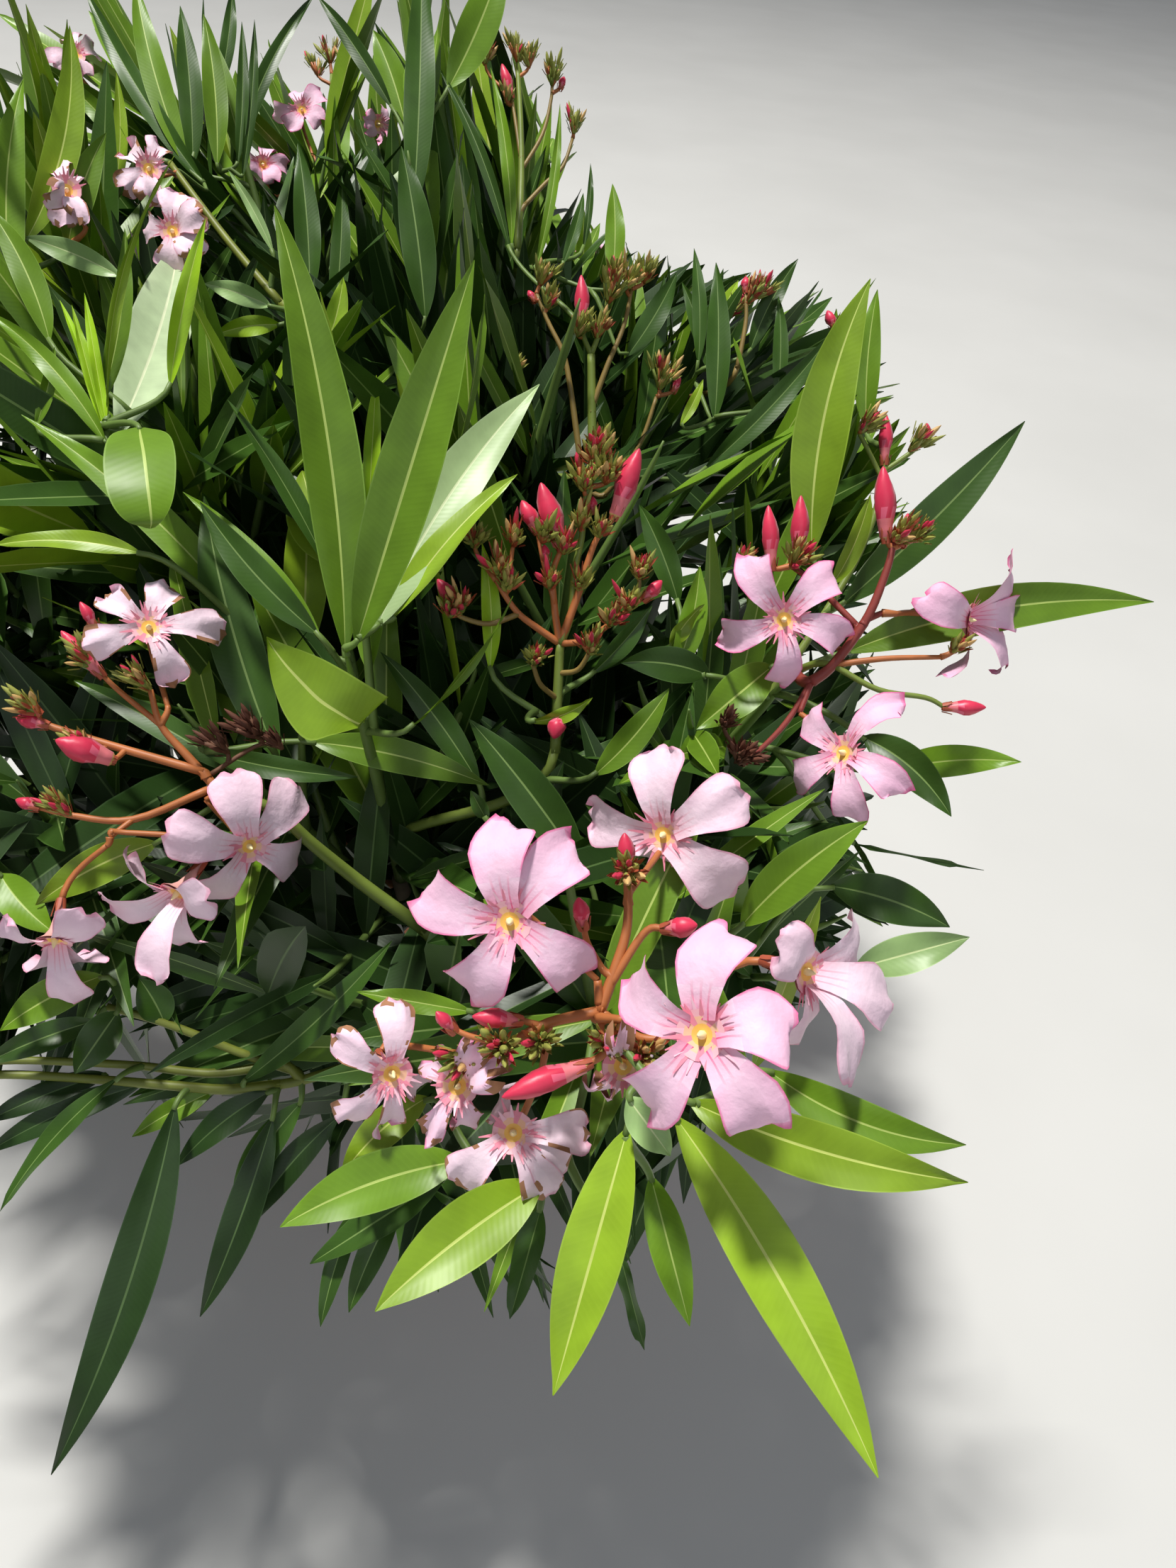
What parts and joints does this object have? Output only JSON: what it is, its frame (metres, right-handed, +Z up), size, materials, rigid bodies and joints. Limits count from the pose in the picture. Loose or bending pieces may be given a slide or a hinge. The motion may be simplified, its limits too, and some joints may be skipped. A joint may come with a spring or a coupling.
{
  "type": "potted oleander",
  "caption": "Bushy oleander in a round clay pot, with whorled lance-shaped leaves and clusters of pale pink flowers.",
  "frame": {"origin": "middle of the pot's flat underside, on the surface it stands on", "axes": "+Z up, -Y towards the side the picture was taken from, +X to the right seen from there"},
  "size_m": [0.6818, 0.8417, 0.6801],
  "materials": {
    "clay": "matte",
    "soil": "rough",
    "bark": "matte",
    "green_wood": "satin",
    "leaf": "satin"
  },
  "bodies": {
    "root": {"pot": "clay", "soil": "soil", "stem_front": "bark", "stem_front_left": "bark", "stem_left": "bark", "stem_right": "bark", "stem_middle": "bark", "stem_far_left": "bark", "stem_back_left": "bark", "stem_back_right": "bark", "bough_front_right": "green_wood", "bough_front_low": "green_wood", "bough_left_bloom": "green_wood", "bough_left_front": "green_wood", "bough_left_low": "green_wood", "bough_right_low": "green_wood", "bough_right_back": "green_wood", "bough_bud_back": "green_wood", "bough_top": "green_wood", "bough_far_left_low": "green_wood", "bough_far_left_back": "green_wood", "bough_back_left_low": "green_wood", "bough_back": "green_wood", "bough_back_right": "green_wood", "bough_back_low": "green_wood", "foliage_front_bloom": "leaf", "foliage_front_right": "leaf", "foliage_front_low": "leaf", "foliage_rosette": "leaf", "foliage_left_bloom": "leaf", "foliage_left_mid": "leaf", "foliage_left_front": "leaf", "foliage_left_low": "leaf", "foliage_right_bloom": "leaf", "foliage_right_low": "leaf", "foliage_right_back": "leaf", "foliage_bud_mid": "leaf", "foliage_bud_back": "leaf", "foliage_top": "leaf", "foliage_far_left": "leaf", "foliage_far_left_low": "leaf", "foliage_far_left_back": "leaf", "foliage_back_left": "leaf", "foliage_back_left_low": "leaf", "foliage_back": "leaf", "foliage_back_mid": "leaf", "foliage_back_right": "leaf", "foliage_back_low": "leaf"}
  },
  "joints": []
}
